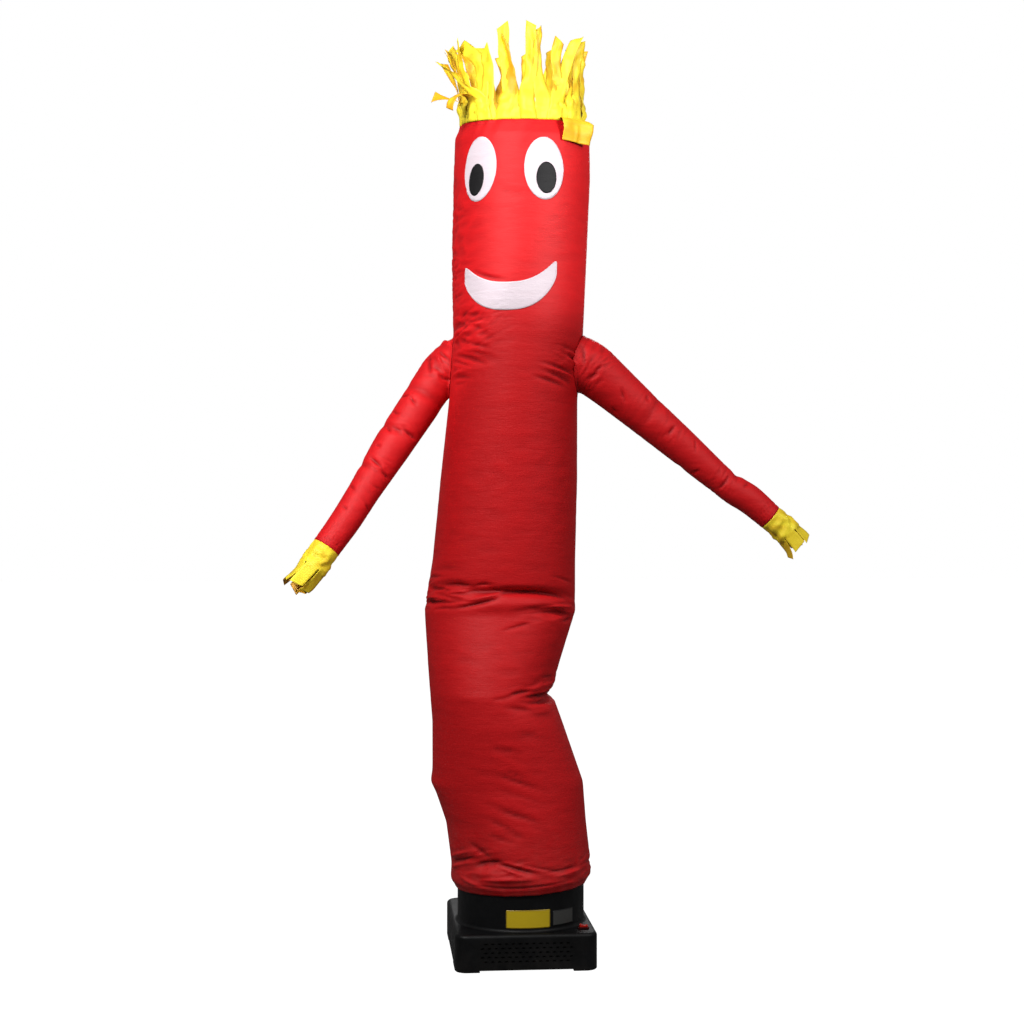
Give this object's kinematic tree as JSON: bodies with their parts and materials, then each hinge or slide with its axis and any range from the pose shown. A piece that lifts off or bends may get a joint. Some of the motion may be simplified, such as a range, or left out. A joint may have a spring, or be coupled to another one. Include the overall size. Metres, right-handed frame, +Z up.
{
  "type": "inflatable air dancer on a blower",
  "caption": "Tall sewn nylon tube figure with a face, tapering arms and fringed hair and hands, blown up by an electric blower that it stands on.",
  "frame": {"origin": "on the ground, under the middle of the blower's round collar, on the underside of the base", "axes": "+Z up along the tube; -Y is the front of the blower, which the face looks over; +X is to the right as seen from the front"},
  "size_m": [1.7234, 0.617, 2.9811],
  "materials": {
    "red_nylon": "coated ripstop nylon with a soft satin sheen",
    "yellow_nylon": "thin unhemmed nylon ribbon, satin",
    "white_nylon": "matte nylon patch",
    "black_nylon": "matte nylon patch",
    "black_plastic": "moulded plastic with a fine grain",
    "yellow_film": "satin film",
    "grey_film": "satin film",
    "red_plastic": "glossy moulded plastic"
  },
  "bodies": {
    "dancer": {"body_tube": "red_nylon", "arm_left": "red_nylon", "arm_right": "red_nylon", "hair_fringe": "yellow_nylon", "hand_fringe_left": "yellow_nylon", "hand_fringe_right": "yellow_nylon", "eye_white_left": "white_nylon", "eye_white_right": "white_nylon", "pupil_left": "black_nylon", "pupil_right": "black_nylon", "smile": "white_nylon", "blower_base": "black_plastic", "blower_collar": "black_plastic", "label_yellow": "yellow_film", "label_grey": "grey_film", "switch_bezel": "black_plastic", "cable_gland": "black_plastic"},
    "rocker": {"switch_rocker": "red_plastic"}
  },
  "joints": [
    {"name": "rocker_tilt", "type": "hinge", "parent": "dancer", "child": "rocker", "pos_m": [0.186, -0.158, 0.1244], "axis": [0, 1, 0], "range_deg": [-16, 0]}
  ]
}
